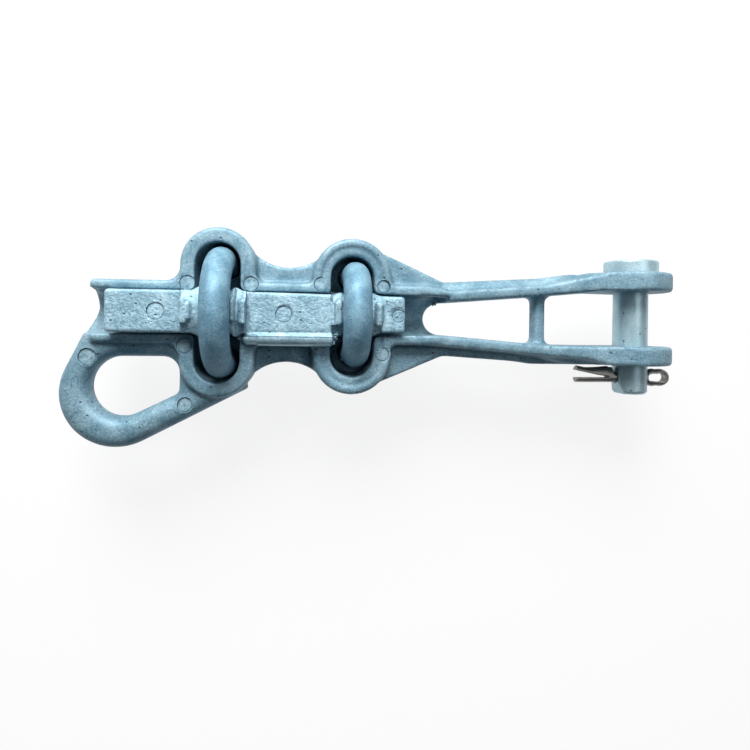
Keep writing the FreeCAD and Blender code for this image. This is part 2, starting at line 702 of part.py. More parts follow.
    # Bell mouths at both ends of the groove.
    long, flare = V["mouth_flare_long"], V["mouth_flare"]
    bend = (long ** 2 + flare ** 2) / (2 * flare)
    half_turn = math.asin(long / bend) / 2
    for name, mouth, inward, ahead in (
            ("tail", V["chin_end"], 1, V["chin_slant"] + past),
            ("crotch", V["crotch_end"] + V["crotch_mouth_inset"], -1, V["crotch_mouth_past"])):
        sketch = new_sketch(body, "%s_mouth_profile" % name, "XZ_Plane")
        inner = Vector(mouth + inward * long, deep - groove, 0)
        outer = Vector(mouth, deep - groove - flare, 0)
        bulge = inner - Vector(inward * math.sin(half_turn), 1 - math.cos(half_turn), 0) * bend
        beyond = mouth - inward * ahead
        draw(sketch, [
            Part.Arc(inner, bulge, outer),
            Part.LineSegment(outer, Vector(beyond, outer.y, 0)),
            Part.LineSegment(Vector(beyond, outer.y, 0), Vector(beyond, deep, 0)),
            Part.LineSegment(Vector(beyond, deep, 0), Vector(inner.x, deep, 0)),
            Part.LineSegment(Vector(inner.x, deep, 0), inner),
        ])
        axis = Part.LineSegment(Vector(mouth - long, deep, 0), Vector(mouth + long, deep, 0))
        sketch.addGeometry(axis, True)
        feature = body.newObject("PartDesign::Groove", "%s_mouth" % name)
        feature.Profile = sketch
        feature.ReferenceAxis = (sketch, ["Axis0"])
        feature.Angle = 360
        doc.recompute()

    # Crotch between the arms.
    sketch = new_sketch(body, "crotch_plan", "XY_Plane")
    inner = crotch_half
    reach_x = crotch_centre + past
    widen = inner + (half_mid - inner) * past / (bar_x - crotch_centre)
    draw(sketch, [
        Part.Arc(Vector(crotch_centre, inner - sway, 0), Vector(V["crotch_end"], -sway, 0),
                 Vector(crotch_centre, -inner - sway, 0)),
        Part.LineSegment(Vector(crotch_centre, -inner - sway, 0), Vector(reach_x, -widen - sway, 0)),
        Part.LineSegment(Vector(reach_x, -widen - sway, 0), Vector(reach_x, widen - sway, 0)),
        Part.LineSegment(Vector(reach_x, widen - sway, 0), Vector(crotch_centre, inner - sway, 0)),
    ])
    pocket(body, "crotch", sketch, "(sizes.floor_depth + sizes.cut_past) * 2", both=True)

    # Holes for the U-bolt legs and the pin.
    sketch = new_sketch(body, "leg_hole_plan", "XY_Plane", "-sizes.floor_depth")
    for key in ("tail", "clevis"):
        for sign in ("", "-"):
            circle(sketch, STATION_X[key], sign + LEG_Y % key, "sizes.rod_dia / 2 + sizes.leg_clearance")
    pocket(body, "leg_holes", sketch, "sizes.well_floor * 2", reverse=True)
    sketch = new_sketch(body, "pin_hole_plan", "XZ_Plane")
    circle(sketch, "0", "0", "sizes.pin_dia / 2 + sizes.pin_clearance")
    pocket(body, "pin_holes", sketch, "sizes.clevis_gap * 3", both=True)
    return body


def make_keeper():
    """Cast keeper: block, saddle, block with hooked lip, saddle, block."""
    body = new_body("keeper")
    half = channel_half - V["keeper_clearance"]
    nose_half = half - V["keeper_taper"]
    top = V["keeper_top"]
    corner = V["keeper_corner"]
    sketch = new_sketch(body, "block_plan", "XY_Plane", "sizes.keeper_above_seat - sizes.seat_depth")
    draw(sketch, rounded([
        (V["keeper_tail"], -half, corner), (V["tail_station"], -half, 0),
        (V["keeper_nose"], -nose_half, corner), (V["keeper_nose"], nose_half, corner),
        (V["tail_station"], half, 0), (V["keeper_tail"], half, corner)]))
    pad(body, "block", sketch,
        "sizes.rim_height + sizes.keeper_above_rim + sizes.seat_depth - sizes.keeper_above_seat")
    doc.recompute()

    # The last block towards the clevis is lower.
    sketch = new_sketch(body, "nose_side", "XZ_Plane")
    start = V["keeper_nose_start"]
    nose_top = V["keeper_nose_top"]
    draw(sketch, rounded([
        (start - V["keeper_step_slope"], top, 0), (start, nose_top, V["keeper_step_round"]),
        (V["keeper_nose"] + past, nose_top, 0), (V["keeper_nose"] + past, top, 0)]))
    pocket(body, "nose_cut", sketch, "sizes.channel_wide * 2", both=True)

    # Both stations are cut down, so that the saddles alone meet the U-bolts.
    spans = {
        "tail": ("keeper_tail_block", "keeper_mid_start", half),
        "clevis": ("keeper_mid_end", "keeper_nose_start", half - V["clevis_saddle_narrower"]),
    }
    low = V["rim_height"] - V["saddle_foot"]
    sketch = new_sketch(body, "station_side", "XZ_Plane")
    for first, last, width in spans.values():
        start, end = V[first], V[last]
        draw(sketch, rounded([(start, low, 0), (end, low, 0), (end, top + past, 0), (start, top + past, 0)]))
    pocket(body, "station_cuts", sketch, "sizes.channel_wide * 2", both=True)
    round_edges(body, "block_rounds", "sizes.keeper_round", lambda edge: at_height(edge, top) or (
        at_height(edge, nose_top) and edge.BoundBox.XMin > V["keeper_nose_start"] - 1e-3))

    # Lip with a bead that hooks over the wall on one side.
    bead = V["bead_radius"]
    bead_y = bead - wall_out - V["lip_past_wall"]
    bead_z = V["rim_height"] + V["lip_gap"] + bead
    mid_start = TAIL_X + " + sizes.tail_saddle_front"
    mid_long = "sizes.stations_apart - sizes.tail_saddle_front - sizes.clevis_saddle_back"
    sketch = new_sketch(body, "lip_section", "YZ_Plane", mid_start)
    lip_top = top - V["lip_below_top"]
    lip_under = bead_z - bead
    draw(sketch, rounded([(bead_y, lip_under, 0), (0, lip_under, 0), (0, lip_top, 0), (bead_y, lip_top, 0)]))
    pad(body, "lip", sketch, mid_long)
    sketch = new_sketch(body, "bead_section", "YZ_Plane", mid_start)
    circle(sketch, "sizes.bead_radius - sizes.channel_wide / 2 - sizes.wall_thick - sizes.lip_past_wall",
           "sizes.rim_height + sizes.lip_gap + sizes.bead_radius", "sizes.bead_radius")
    pad(body, "bead", sketch, mid_long)

    # Saddles under the two U-bolts, curved like the bends above them, with a ridge at each end.
    for key, (first, last, width) in spans.items():
        bend = stations[key][1] - rod_radius - V["saddle_gap"]
        foot = low - V["saddle_sink"]
        crown = bend_height + bend
        side_height = bend_height + math.sqrt(bend ** 2 - width ** 2)
        sketch = new_sketch(body, "%s_saddle_section" % key, "YZ_Plane",
                            STATION_X[key] + " - sizes.%s_saddle_back" % key)
        draw(sketch, [
            Part.LineSegment(Vector(-width, foot, 0), Vector(width, foot, 0)),
            Part.LineSegment(Vector(width, foot, 0), Vector(width, side_height, 0)),
            Part.Arc(Vector(width, side_height, 0), Vector(0, crown, 0), Vector(-width, side_height, 0)),
            Part.LineSegment(Vector(-width, side_height, 0), Vector(-width, foot, 0)),
        ])
        pad(body, "%s_saddle" % key, sketch, "sizes.%s_saddle_back + sizes.%s_saddle_front" % (key, key))
        sketch = new_sketch(body, "%s_ridge_side" % key, "XZ_Plane", "-sizes.ridge_half")
        high, foot = crown + V["ridge_high"], crown - V["ridge_foot"]
        wide, soft = V["ridge_wide"], V["ridge_round"]
        for start in (V[first], V[last] - wide):
            draw(sketch, rounded([(start, foot, 0), (start + wide, foot, 0), (start + wide, high, soft),
                                  (start, high, soft)]))
        pad(body, "%s_ridges" % key, sketch, "sizes.ridge_half * 2")

    # Ejector marks on the three blocks.
    for name, place, height in (
            ("tail", TAIL_X + " - sizes.tail_mark_back", "sizes.keeper_above_rim"),
            ("mid", TAIL_X + " + sizes.mid_mark_ahead", "sizes.keeper_above_rim"),
            ("nose", CLEVIS_X + " + sizes.nose_mark_ahead", "sizes.keeper_nose_above_rim")):
        sketch = new_sketch(body, "%s_mark_plan" % name, "XY_Plane", "sizes.rim_height + " + height)
        circle(sketch, place, "0", "sizes.mark_dia / 2")
        pocket(body, "%s_mark" % name, sketch, "sizes.mark_deep")

    # Groove on the underside for the conductor.
    sketch = new_sketch(body, "under_section", "YZ_Plane",
                        TAIL_X + " - sizes.tail_saddle_back - sizes.keeper_tail_long - sizes.cut_past")
    circle(sketch, "0", "-sizes.groove_axis_depth", "sizes.groove_radius + sizes.keeper_groove_clearance")
    pocket(body, "under_groove", sketch,
           "sizes.keeper_tail_long + sizes.tail_saddle_back + sizes.stations_apart"
           " + sizes.clevis_saddle_front + sizes.keeper_nose_long + sizes.cut_past * 2",
           reverse=True)
    return body


def make_u_bolt(key):
    """Round bar bent to a half circle over the keeper, with two straight legs."""
    leg = stations[key][1]
    body = new_body("%s_u_bolt" % key)
    path = new_sketch(body, "path", "YZ_Plane", STATION_X[key])
    height = bend_height
    draw(path, [
        Part.LineSegment(Vector(-leg, V["leg_end"], 0), Vector(-leg, height, 0)),
        Part.Arc(Vector(-leg, height, 0), Vector(0, height + leg, 0), Vector(leg, height, 0)),
        Part.LineSegment(Vector(leg, height, 0), Vector(leg, V["leg_end"], 0)),
    ], closed=False)
    section = new_sketch(body, "section", "XY_Plane",
                         NUT_TOP + " - sizes.nut_high - sizes.leg_past_nut")
    circle(section, STATION_X[key], "-" + LEG_Y % key, "sizes.rod_dia / 2")
    doc.recompute()
    pipe = body.newObject("PartDesign::AdditivePipe", "bar")
    pipe.Profile = section
    pipe.Spine = (path, ["Edge1", "Edge2", "Edge3"])
    doc.recompute()
    feature = body.newObject("PartDesign::Chamfer", "leg_ends")
    names = ["Edge%d" % (i + 1) for i, edge in enumerate(pipe.Shape.Edges) if at_height(edge, V["leg_end"])]
    feature.Base = (pipe, names)
    feature.setExpression("Size", "sizes.leg_chamfer")
    return body


def make_fastener_stack(key, side, sign):
    """Flat washer, spring washer and nut on one leg, each a body of its own."""
    station = STATION_X[key]
    across = sign + LEG_Y % key
    place_x, leg = stations[key]
    place_y = -leg if sign else leg

    washer = new_body("%s_%s_washer" % (key, side))
    sketch = new_sketch(washer, "ring", "XY_Plane", "-sizes.floor_depth")
    circle(sketch, station, across, "sizes.washer_dia / 2")
    circle(sketch, station, across, "sizes.rod_dia / 2 + sizes.washer_clearance")
    pad(washer, "plate", sketch, "sizes.washer_thick", reverse=True)

    spring = new_body("%s_%s_spring_washer" % (key, side))
    sketch = new_sketch(spring, "ring", "XY_Plane", "-(sizes.floor_depth + sizes.washer_thick)")
    circle(sketch, station, across, "sizes.spring_dia / 2")
    circle(sketch, station, across, "sizes.rod_dia / 2 + sizes.washer_clearance")
    pad(spring, "coil", sketch, "sizes.spring_thick", reverse=True)
    doc.recompute()
    sketch = new_sketch(spring, "slot_side", "XZ_Plane", "-(%s)" % across)
    middle = V["floor_under"] - V["washer_thick"] - V["spring_thick"] / 2
    high, low = middle + past, middle - past
    slot, lean = V["spring_slot"] / 2, V["spring_slot_slope"] * past
    draw(sketch, rounded([(place_x - slot - lean, low, 0), (place_x + slot - lean, low, 0),
                          (place_x + slot + lean, high, 0), (place_x - slot + lean, high, 0)]))
    pocket(spring, "slot", sketch, "sizes.spring_dia", reverse=(sign == ""))

    nut = new_body("%s_%s_nut" % (key, side))
    top = V["nut_top"]
    sketch = new_sketch(nut, "hexagon", "XY_Plane", NUT_TOP)
    corner = V["nut_flats"] / math.sqrt(3)
    draw(sketch, rounded([(place_x + corner * math.cos(math.radians(60 * i)),
                           place_y + corner * math.sin(math.radians(60 * i)), 0) for i in range(6)]))
    circle(sketch, station, across, "sizes.rod_dia / 2 + sizes.nut_clearance")
    pad(nut, "prism", sketch, "sizes.nut_high", reverse=True)
    doc.recompute()
    sketch = new_sketch(nut, "chamfer_profile", "XZ_Plane", "-(%s)" % across)
    flat = V["nut_flats"] / 2 - V["nut_face_inset"]
    under = top - V["nut_high"]
    outer = corner + V["nut_face_inset"]
    deep = (outer - flat) * math.tan(math.radians(V["nut_chamfer_angle"]))
    for face, inward in ((top, -1), (under, 1)):
        draw(sketch, rounded([(place_x + flat, face, 0), (place_x + outer, face, 0),
                              (place_x + outer, face + inward * deep, 0)]))
    sketch.addGeometry(Part.LineSegment(Vector(place_x, top, 0), Vector(place_x, under, 0)), True)
    feature = nut.newObject("PartDesign::Groove", "corner_chamfers")
    feature.Profile = sketch
    feature.ReferenceAxis = (sketch, ["Axis0"])
    feature.Angle = 360
    doc.recompute()
    return washer, spring, nut


def make_pin():
    """Clevis pin: round head, shank, hole for the split pin and a bevelled tip."""
    body = new_body("clevis_pin")
    sketch = new_sketch(body, "profile", "XY_Plane")
    radius = V["pin_dia"] / 2
    head = radius + V["pin_head_step"]
    seat = ear_out + V["pin_end_play"]
    tip = -(ear_out + V["pin_tail"])
    top = seat + V["pin_head_high"]
    chamfer = V["pin_chamfer"]
    draw(sketch, rounded([
        (0, tip, 0), (radius - chamfer, tip, 0), (radius, tip + chamfer, 0), (radius, seat, 0),
        (head, seat, 0), (head, top, V["pin_head_round"]), (0, top, 0)]))
    feature = body.newObject("PartDesign::Revolution", "turned")
    feature.Profile = sketch
    feature.ReferenceAxis = (sketch, ["V_Axis"])
    feature.Angle = 360
    doc.recompute()
    sketch = new_sketch(body, "cotter_hole_plan", "YZ_Plane")
    circle(sketch, "-(sizes.clevis_gap / 2 + sizes.ear_thick + sizes.cotter_from_ear)", "0",
           "sizes.cotter_dia / 2 + sizes.cotter_clearance")
    pocket(body, "cotter_hole", sketch, "sizes.pin_dia * 2", both=True)
    sketch = new_sketch(body, "bevel_plan", "XY_Plane")
    high, deep = V["pin_bevel_high"], V["pin_bevel_deep"]
    lean = past * deep / high
    draw(sketch, rounded([(-radius - past, tip - past, 0), (-radius + deep + lean, tip - past, 0),
                          (-radius - lean, tip + high + past, 0), (-radius - past, tip + high + past, 0)]))
    pocket(body, "bevel", sketch, "sizes.pin_dia * 2", both=True)
    return body


def make_cotter():
    """Split pin: half round wire folded at the eye, one leg straight and one bent."""
    body = new_body("cotter_pin")
    line = -(ear_out + V["cotter_from_ear"])
    gap = V["cotter_leg_gap"] / 2
    eye = V["cotter_eye_inner"]
    wire = V["cotter_dia"] / 2 - gap
    pin_radius = V["pin_dia"] / 2
    centre = Vector(pin_radius + V["cotter_eye_long"] - wire - eye, line, 0)
    throat = pin_radius + V["cotter_eye_neck"]
    leg_end = -pin_radius - V["cotter_leg_long"]
    low_throat = Vector(throat, line - gap, 0)
    high_throat = Vector(throat, line + gap, 0)
    low_touch = tangent_point(low_throat, centre, eye, -1)
    high_touch = tangent_point(high_throat, centre, eye, 1)
    bend = Vector(-pin_radius - V["cotter_bend_gap"], line + gap, 0)
    tip = Vector(leg_end, -(ear_out + V["cotter_ear_gap"]) - wire, 0)
    path = new_sketch(body, "path", "XY_Plane")
    draw(path, [
        Part.LineSegment(Vector(leg_end, line - gap, 0), low_throat),
        Part.LineSegment(low_throat, low_touch),
        arc_about(centre, low_touch, high_touch, 0),
        Part.LineSegment(high_touch, high_throat),
        Part.LineSegment(high_throat, bend),
        Part.LineSegment(bend, tip),
    ], closed=False)
    section = new_sketch(body, "section", "YZ_Plane", "-(sizes.pin_dia / 2 + sizes.cotter_leg_long)")
    y = line - gap
    draw(section, [
        Part.Arc(Vector(y, wire, 0), Vector(y - wire, 0, 0), Vector(y, -wire, 0)),
        Part.LineSegment(Vector(y, -wire, 0), Vector(y, wire, 0)),
    ])
    doc.recompute()
    pipe = body.newObject("PartDesign::AdditivePipe", "wire")
    pipe.Profile = section
    pipe.Spine = (path, ["Edge%d" % (i + 1) for i in range(6)])
    pipe.Transition = "Right corner"
    doc.recompute()
    return body


bodies = [make_casting(), make_keeper(), make_u_bolt("tail"), make_u_bolt("clevis")]
for station_name in ("tail", "clevis"):
    for side_name, sign_text in (("left", ""), ("right", "-")):
        bodies += make_fastener_stack(station_name, side_name, sign_text)
bodies += [make_pin(), make_cotter()]
doc.recompute()

for item in doc.Objects:
    for state in item.State:
        if state in ("Invalid", "Error"):
            raise RuntimeError("%s is %s" % (item.Name, state))
os.makedirs("parts", exist_ok=True)
for item in bodies:
    shape = item.Shape
    if shape.isNull() or not shape.isValid():
        raise RuntimeError("%s has no valid shape" % item.Label)
for item in bodies:
    item.Shape.exportStep("parts/%s.step" % item.Label)
    print("%-28s %d solid, volume %.1f" % (item.Label, len(item.Shape.Solids), item.Shape.Volume))
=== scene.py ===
# %% [markdown]
# # A bolted strain clamp, dressed for the camera
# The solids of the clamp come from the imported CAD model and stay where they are.
# This lesson gives them their finishes, adds what is too fine for the solids, and
# sets up the floor, the light and the camera. The scene is in metres, in the frame
# of the model: the origin is the middle of the clevis pin, +X points out of the
# clevis, +Y along the pin to its head, and +Z up to the bends of the U-bolts. Sizes
# of the clamp are easier to read in millimetres, so those are multiplied by MM.

# %% Load the clamp
import math

import bmesh
import bpy
from mathutils import Matrix, Vector, noise


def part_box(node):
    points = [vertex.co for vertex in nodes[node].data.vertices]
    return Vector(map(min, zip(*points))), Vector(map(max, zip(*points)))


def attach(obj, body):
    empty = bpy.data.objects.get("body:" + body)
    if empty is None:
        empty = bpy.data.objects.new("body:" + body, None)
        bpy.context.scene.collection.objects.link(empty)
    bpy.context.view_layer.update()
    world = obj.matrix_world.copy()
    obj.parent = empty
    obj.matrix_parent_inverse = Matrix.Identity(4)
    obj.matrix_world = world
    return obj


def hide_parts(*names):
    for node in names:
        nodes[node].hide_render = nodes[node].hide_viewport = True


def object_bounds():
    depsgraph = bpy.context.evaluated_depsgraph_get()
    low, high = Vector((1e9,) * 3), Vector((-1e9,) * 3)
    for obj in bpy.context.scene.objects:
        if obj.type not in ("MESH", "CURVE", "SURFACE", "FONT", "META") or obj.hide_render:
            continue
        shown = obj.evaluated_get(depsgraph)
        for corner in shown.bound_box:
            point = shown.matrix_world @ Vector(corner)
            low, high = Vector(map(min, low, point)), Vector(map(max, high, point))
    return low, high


MM = 0.001
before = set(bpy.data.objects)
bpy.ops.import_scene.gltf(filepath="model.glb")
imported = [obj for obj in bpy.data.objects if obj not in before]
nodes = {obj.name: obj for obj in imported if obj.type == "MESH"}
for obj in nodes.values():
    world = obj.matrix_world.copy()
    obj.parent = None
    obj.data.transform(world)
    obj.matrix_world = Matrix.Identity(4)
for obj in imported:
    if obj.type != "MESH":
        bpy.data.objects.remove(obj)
cad_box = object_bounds()
print("pieces of the clamp:", len(nodes))

# %% [markdown]
# ## Camera
# The photograph was taken from straight above, a little to the tail side, so the
# picture shows the insides of the ears and the walls leaning outwards. A camera is
# easiest to place by its own three axes: where its right, its up and its back point.
# The picture was cropped off centre, which a small vertical shift reproduces.

# %% Camera
CAMERA_PLACE = (-157.50 * MM, -6.31 * MM, 265.0 * MM)
CAMERA_RIGHT = Vector((0.99268, 0.01364, 0.12000))
CAMERA_UP = Vector((-0.01374, 0.99991, 0.0))
PICTURE_WIDE = 750.0
FOCAL_LENGTH = 577.0
SHIFT_DOWN = 47.0
SENSOR = 36.0

camera_data = bpy.data.cameras.new("camera")
camera = bpy.data.objects.new("camera", camera_data)
bpy.context.collection.objects.link(camera)
back = CAMERA_RIGHT.cross(CAMERA_UP).normalized()
up = back.cross(CAMERA_RIGHT).normalized()
turned = Matrix((CAMERA_RIGHT, up, back)).transposed().to_4x4()
camera.matrix_world = Matrix.Translation(CAMERA_PLACE) @ turned
camera_data.sensor_width = SENSOR
camera_data.lens = SENSOR * FOCAL_LENGTH / PICTURE_WIDE
camera_data.shift_y = -SHIFT_DOWN / PICTURE_WIDE
camera_data.clip_start = 0.01
bpy.context.scene.camera = camera
print("camera height above the pin: %.0f mm" % (camera.location.z / MM))

# %% [markdown]
# ## Floor and light
# The clamp stands on the ends of its bolts, so the floor is at the lowest point of
# the model. The floor is pale; what the camera and the shiny metal see of it is
# lifted towards white, and the shadow stays. The light is soft and comes from the
# pin head's side, as in the photograph: one large lamp there, a weak one opposite,
# and a sky that is brighter on that side.

# %% Floor
FLOOR_HALF = 3.0
FLOOR_GAP = 0.0002
PALE = (0.86, 0.87, 0.88, 1)
WHITE = (1, 1, 1, 1)
WHITE_SHARE = 0.86

scene = bpy.context.scene
scene.view_settings.view_transform = "Standard"
floor_height = cad_box[0][2]
floor_mesh = bpy.data.meshes.new("floor")
shape = bmesh.new()
bmesh.ops.create_grid(shape, x_segments=1, y_segments=1, size=FLOOR_HALF)
bmesh.ops.translate(shape, vec=(0, 0, floor_height - FLOOR_GAP), verts=shape.verts)
shape.to_mesh(floor_mesh)
shape.free()
floor = bpy.data.objects.new("floor", floor_mesh)
bpy.context.collection.objects.link(floor)

paper = bpy.data.materials.new("pale_paper")
paper.use_nodes = True
tree = paper.node_tree
tree.nodes.clear()
out = tree.nodes.new("ShaderNodeOutputMaterial")
matt = tree.nodes.new("ShaderNodeBsdfDiffuse")
matt.inputs["Color"].default_value = PALE
glow = tree.nodes.new("ShaderNodeEmission")
glow.inputs["Color"].default_value = WHITE
glow.inputs["Strength"].default_value = 1.0
path = tree.nodes.new("ShaderNodeLightPath")
seen = tree.nodes.new("ShaderNodeMath")
seen.operation = "MAXIMUM"
tree.links.new(path.outputs["Is Camera Ray"], seen.inputs[0])
tree.links.new(path.outputs["Is Glossy Ray"], seen.inputs[1])
share = tree.nodes.new("ShaderNodeMath")
share.operation = "MULTIPLY"
share.inputs[1].default_value = WHITE_SHARE
tree.links.new(seen.outputs[0], share.inputs[0])
mix = tree.nodes.new("ShaderNodeMixShader")
tree.links.new(share.outputs[0], mix.inputs[0])
tree.links.new(matt.outputs[0], mix.inputs[1])
tree.links.new(glow.outputs[0], mix.inputs[2])
tree.links.new(mix.outputs[0], out.inputs["Surface"])
floor_mesh.materials.append(paper)


# %% Light
def soft_lamp(name, place, aim, width, power, tint):
    """A square lamp that faces a point; place and aim in metres."""
    data = bpy.data.lights.new(name, "AREA")
    data.size = width
    data.energy = power
    data.color = tint
    lamp = bpy.data.objects.new(name, data)
    bpy.context.collection.objects.link(lamp)
    lamp.location = place
    lamp.rotation_euler = (Vector(aim) - Vector(place)).to_track_quat("-Z", "Y").to_euler()


CLAMP_MIDDLE = (-0.13, -0.01, 0.0)
SKY_DARK_SIDE = (0.04, 0.06, 0.08, 1)
SKY_BRIGHT_SIDE = (0.95, 0.97, 1.0, 1)
SKY_DARK_TO, SKY_BRIGHT_FROM = 0.25, 0.85
SKY_STRENGTH = 0.36
soft_lamp("key", (-0.26, 0.62, 0.50), CLAMP_MIDDLE, 0.46, 12.8, (1.0, 0.99, 0.97))
soft_lamp("far", (0.30, 0.15, 0.80), CLAMP_MIDDLE, 0.40, 1.2, (0.96, 0.98, 1.0))

world = bpy.data.worlds.new("studio")
scene.world = world
world.use_nodes = True
tree = world.node_tree
tree.nodes.clear()
out = tree.nodes.new("ShaderNodeOutputWorld")
sky = tree.nodes.new("ShaderNodeBackground")
place = tree.nodes.new("ShaderNodeTexCoord")
parts = tree.nodes.new("ShaderNodeSeparateXYZ")
fade = tree.nodes.new("ShaderNodeValToRGB")
fade.color_ramp.elements[0].position = SKY_DARK_TO
fade.color_ramp.elements[0].color = SKY_DARK_SIDE
fade.color_ramp.elements[1].position = SKY_BRIGHT_FROM
fade.color_ramp.elements[1].color = SKY_BRIGHT_SIDE
half = tree.nodes.new("ShaderNodeMath")
half.operation = "MULTIPLY_ADD"
half.inputs[1].default_value = 0.5
half.inputs[2].default_value = 0.5
tree.links.new(place.outputs["Generated"], parts.inputs[0])
tree.links.new(parts.outputs["Y"], half.inputs[0])
tree.links.new(half.outputs[0], fade.inputs[0])
tree.links.new(fade.outputs["Color"], sky.inputs["Color"])
sky.inputs["Strength"].default_value = SKY_STRENGTH
tree.links.new(sky.outputs[0], out.inputs["Surface"])

# %% [markdown]
# ## Cast and galvanised metal
# A die casting isn't smooth: its skin has a fine grain, cloudy patches where the
# metal ran, and small pits. Galvanised steel has the same in other sizes. So one
# node group makes these patterns from the place on the object, and bright flecks
# that are painted glints; each material sets how large and strong they are, and
# the shader itself stays in the material.


# %% Help with node groups
def add_socket(group, name, way, value=None):
    """Adds a number socket to a node group."""
    socket = group.interface.new_socket(name=name, in_out=way, socket_type="NodeSocketFloat")
    if value is not None:
        socket.default_value = value


class Tree:
    """Short words for adding nodes to a tree and joining them."""

    def __init__(self, tree):
        self.tree = tree

    def add(self, kind, **values):
        """Adds a shader node and sets its properties."""
        node = self.tree.nodes.new("ShaderNode" + kind)
        for name, value in values.items():
            setattr(node, name, value)
        return node

    def feed(self, socket, source):
        """Joins an output to a socket, or sets the socket when the source is a value."""
        if isinstance(source, bpy.types.NodeSocket):
            self.tree.links.new(source, socket)
        else:
            socket.default_value = source

    def math(self, operation, *sources):
        """Adds a sum or the like."""
        node = self.add("Math", operation=operation)
        for socket, source in zip(node.inputs, sources):
            self.feed(socket, source)
        return node.outputs[0]

    def between(self, value, low, high, start=0.0, end=1.0):
        """Maps low..high of a value to start..end, and holds it there outside."""
        node = self.add("MapRange", interpolation_type="SMOOTHSTEP")
        for name, source in (("Value", value), ("From Min", low), ("From Max", high),
                             ("To Min", start), ("To Max", end)):
            self.feed(node.inputs[name], source)
        return node.outputs["Result"]

    def mix(self, share, first, second):
        """Mixes two colours; a colour mix has sockets of other kinds that are off."""
        node = self.add("Mix", data_type="RGBA")
        for name, source in (("Factor", share), ("A", first), ("B", second)):
            socket = [s for s in node.inputs if s.name == name and s.enabled][0]
            self.feed(socket, source)
        return [s for s in node.outputs if s.enabled][0]


# %% A group for grain, clouds and pits
def metal_skin_group():
    """Patterns of bare metal, with flecks of painted glint; the sizes are in millimetres."""
    group = bpy.data.node_groups.new("metal skin", "ShaderNodeTree")
    for name, value in (("Grain Size", 0.8), ("Cloud Size", 14.0),
                        ("Pit Size", 3.0), ("Pit Share", 0.2)):
        add_socket(group, name, "INPUT", value)
    for name in ("Grain", "Clouds", "Pits", "Glint Flecks", "Height"):
        add_socket(group, name, "OUTPUT")
    t = Tree(group)
    enter = group.nodes.new("NodeGroupInput")
    leave = group.nodes.new("NodeGroupOutput")
    spot = t.add("TexCoord").outputs["Object"]

    def pattern(kind, size_name, **settings):
        """A texture whose size is a socket in millimetres."""
        texture = t.add(kind)
        t.feed(texture.inputs["Vector"], spot)
        t.feed(texture.inputs["Scale"], t.math("DIVIDE", 1.0 / MM, enter.outputs[size_name]))
        for name, value in settings.items():
            texture.inputs[name].default_value = value
        return texture

    grain = pattern("TexNoise", "Grain Size", Detail=3.0, Roughness=0.6).outputs["Fac"]
    clouds = pattern("TexNoise", "Cloud Size", Detail=5.0, Roughness=0.62, Distortion=0.6)
    clouds = clouds.outputs["Fac"]
    cells = pattern("TexVoronoi", "Pit Size", Randomness=1.0)
    chance = t.add("SeparateColor")
    t.feed(chance.inputs[0], cells.outputs["Color"])
    few = t.math("LESS_THAN", chance.outputs[0], enter.outputs["Pit Share"])
    pits = t.math("MULTIPLY", t.between(cells.outputs["Distance"], 0.06, 0.24, 1.0, 0.0), few)
    # Bright flecks where grain and clouds are high: painted glints.
    glint_flecks = t.math("MULTIPLY", t.between(grain, 0.60, 0.72), t.between(clouds, 0.45, 0.60))
    rise = t.math("MULTIPLY_ADD", clouds, 0.35, grain)
    height = t.math("SUBTRACT", rise, pits)
    for name, source in (("Grain", grain), ("Clouds", clouds), ("Pits", pits),
                         ("Glint Flecks", glint_flecks), ("Height", height)):
        t.feed(leave.inputs[name], source)
    return group


skin = metal_skin_group()

# %% [markdown]
# ## Worn edges, painted highlight and painted shade
# Handling rubs the edges of a casting bright; the bright edges here are partly that
# wear and partly a painted highlight, and the darkening in its corners is painted
# shade. Both could be painted by hand, but the renderer already knows how far each
# place sticks out: the geometry's pointiness is a half on flat metal, more on an edge
# and less in a corner. A second group turns it into two masks, broken up by noise.


# %% A group for worn edges with painted highlight, and corners with painted shade
def edge_group():
    """Masks of rubbed edges, partly painted highlight, and of corners, for painted shade."""
    group = bpy.data.node_groups.new("edge wear and painted light", "ShaderNodeTree")
    add_socket(group, "Break-up Size", "INPUT", 2.0)
    add_socket(group, "Rub And Glint", "OUTPUT")
    add_socket(group, "Corner Shade", "OUTPUT")
    t = Tree(group)
    enter = group.nodes.new("NodeGroupInput")
    leave = group.nodes.new("NodeGroupOutput")
    pointed = t.add("NewGeometry").outputs["Pointiness"]
    patches = t.add("TexNoise")
    patches.inputs["Detail"].default_value = 3.0
    t.feed(patches.inputs["Vector"], t.add("TexCoord").outputs["Object"])
    t.feed(patches.inputs["Scale"], t.math("DIVIDE", 1.0 / MM, enter.outputs["Break-up Size"]))
    broken = t.between(patches.outputs["Fac"], 0.38, 0.60)
    # The edge mask is partly edge wear and partly a painted highlight; the corner mask is painted
    # shade.
    t.feed(leave.inputs["Rub And Glint"], t.math("MULTIPLY", t.between(pointed, 0.505, 0.56), broken))
    t.feed(leave.inputs["Corner Shade"], t.between(pointed, 0.495, 0.44))
    return group


wear_and_light_masks = edge_group()


# %% A material maker for the clamp's metals
GRAIN_PART, CLOUD_PART = 0.45, 0.55
TONE_FROM, TONE_TO = 0.36, 0.64
# How far corners are darkened towards the pit colour: painted shade.
CORNER_SHADE = 0.55
# How far edges are brightened: partly edge wear, partly a painted highlight.
RUB_AND_GLINT_SHARE = 0.6
BRIGHT_SHARE = 0.7
GRAIN_LOW, GRAIN_HIGH = 0.3, 0.7
SMOOTHER, ROUGHER = 0.08, 0.10
SHINE_SMOOTHER = 0.12
POLISH_EDGE = 0.3
# How far the colour below the polished line is lifted: a painted sheen.
PAINTED_SHEEN_SHARE = 0.15
POLISH_METALLIC = 0.45
POLISH_SMOOTHER = 0.17
POLISH_FLATTER = 0.85


